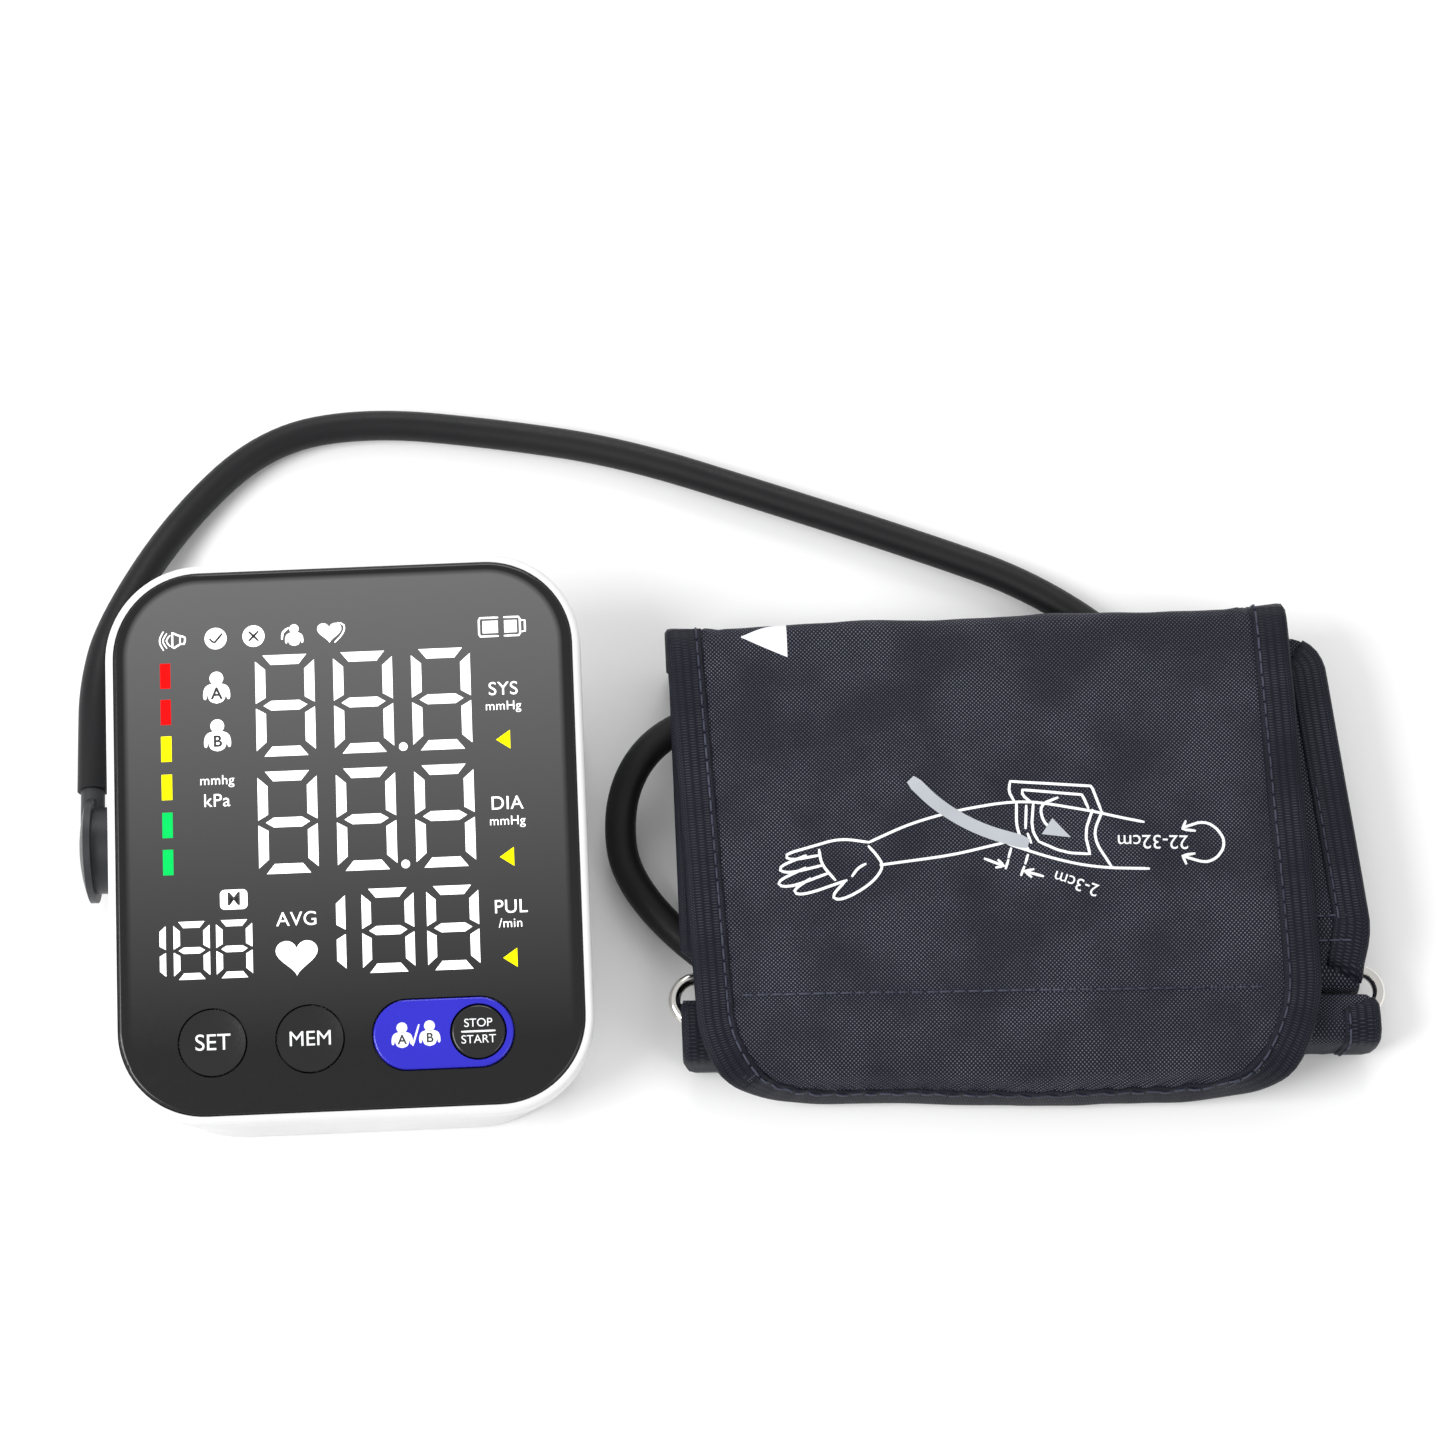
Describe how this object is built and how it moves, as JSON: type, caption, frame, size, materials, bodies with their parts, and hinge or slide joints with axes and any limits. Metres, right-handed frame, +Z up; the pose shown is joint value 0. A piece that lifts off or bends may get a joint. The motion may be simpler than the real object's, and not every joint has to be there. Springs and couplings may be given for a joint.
{
  "type": "upper arm blood pressure monitor",
  "caption": "Wedge-shaped desktop blood pressure monitor with a glossy display face, keys and a side air plug, joined by a hose to a folded fabric arm cuff with a wire ring.",
  "frame": {"origin": "centre of the monitor's base, on the table", "axes": "+X across the monitor towards the cuff, +Y towards the top of the display, +Z up"},
  "size_m": [0.2899, 0.1762, 0.0403],
  "materials": {
    "panel": "glossy smoked acrylic, nearly black",
    "white_shell": "fine satin white ABS",
    "tape": "black adhesive foam tape",
    "black_key": "satin black key",
    "blue_key": "bright blue key, satin",
    "switch": "black switch body",
    "reflector": "white light box",
    "diffuser": "milky film",
    "led": "light-emitting chip",
    "board": "green circuit board",
    "steel": "zinc-plated steel",
    "spring_steel": "nickel-plated contact",
    "chip": "black epoxy package",
    "sensor": "ivory plastic sensor body",
    "motor": "steel motor can",
    "pump": "dark plastic pump head",
    "foam": "black foam",
    "valve": "ivory plastic valve",
    "silicone": "milky silicone tube",
    "speaker": "black cone",
    "socket": "black socket",
    "battery": "printed battery sleeve",
    "pad": "grey anti-slip rubber",
    "plug": "dark grey moulded plug",
    "o_ring": "black rubber seal",
    "hose": "matt black rubber hose",
    "cuff_cloth": "coated navy nylon, plain weave",
    "binding": "navy binding tape",
    "hook": "hook tape",
    "loop": "brushed loop fabric",
    "bladder": "thin rubber bladder",
    "ring": "nickel-plated steel wire"
  },
  "bodies": {
    "root": {"front_panel": "panel", "panel_adhesive": "tape", "front_bezel": "white_shell", "rear_shell": "white_shell", "rubber_pads": "pad", "case_screws": "steel", "tact_switches": "switch", "display_reflector": "reflector", "display_diffuser": "diffuser", "led_chips": "led", "main_board": "board", "board_screws": "steel", "processor_chip": "chip", "pressure_sensor": "sensor", "pump_motor": "motor", "pump_head": "pump", "pump_foam": "foam", "exhaust_valve": "valve", "air_tee": "valve", "air_tubes": "silicone", "air_socket": "socket", "speaker": "speaker", "usb_port": "steel", "batteries": "battery", "battery_springs": "spring_steel", "battery_plates": "spring_steel", "hose_run": "hose", "cuff_far_fold": "cuff_cloth", "cuff_back_layer": "cuff_cloth", "cuff_near_fold": "cuff_cloth", "cuff_lower_layer": "cuff_cloth", "cuff_ring_layer": "cuff_cloth", "loop_patch": "loop", "bladder": "bladder", "cuff_port": "socket", "ring_sleeve": "cuff_cloth"},
    "set_key": {"set_button": "black_key", "set_plunger": "switch"},
    "mem_key": {"mem_button": "black_key", "mem_plunger": "switch"},
    "user_key": {"user_button": "blue_key", "user_plunger": "switch"},
    "start_key": {"start_button": "black_key", "start_plunger": "switch"},
    "battery_cover": {"battery_door": "white_shell"},
    "air_plug": {"plug_body": "plug", "plug_cap": "plug", "plug_o_ring": "o_ring", "hose_plug_end": "hose"},
    "flap": {"cuff_flap": "cuff_cloth", "flap_binding": "binding", "hook_patch": "hook"},
    "ring": {"cuff_ring": "ring"}
  },
  "joints": [
    {"name": "set_key_press", "type": "slide", "parent": "root", "child": "set_key", "axis": [0, 0.1392, -0.9903], "range_m": [0, 0.0006], "stiffness_N_per_m": 600},
    {"name": "mem_key_press", "type": "slide", "parent": "root", "child": "mem_key", "axis": [0, 0.1392, -0.9903], "range_m": [0, 0.0006], "stiffness_N_per_m": 600},
    {"name": "user_key_press", "type": "slide", "parent": "root", "child": "user_key", "axis": [0, 0.1392, -0.9903], "range_m": [0, 0.0006], "stiffness_N_per_m": 800},
    {"name": "start_key_press", "type": "slide", "parent": "root", "child": "start_key", "axis": [0, 0.1392, -0.9903], "range_m": [0, 0.0006], "stiffness_N_per_m": 600},
    {"name": "battery_cover_open", "type": "hinge", "parent": "root", "child": "battery_cover", "pos_m": [0, -0.00335, 0.00075], "axis": [1, 0, 0], "range_deg": [0, 60]},
    {"name": "air_plug_pull", "type": "slide", "parent": "root", "child": "air_plug", "axis": [-1, 0, 0], "range_m": [0, 0.01]},
    {"name": "flap_open", "type": "hinge", "parent": "root", "child": "flap", "pos_m": [0.1417, 0.0464, 0.0246], "axis": [-1, 0, 0], "range_deg": [0, 120]},
    {"name": "ring_rock", "type": "hinge", "parent": "root", "child": "ring", "pos_m": [0.14864, -0.03215, 0.0106], "axis": [0.9996, -0.0295, 0], "range_deg": [-3, 3]}
  ]
}
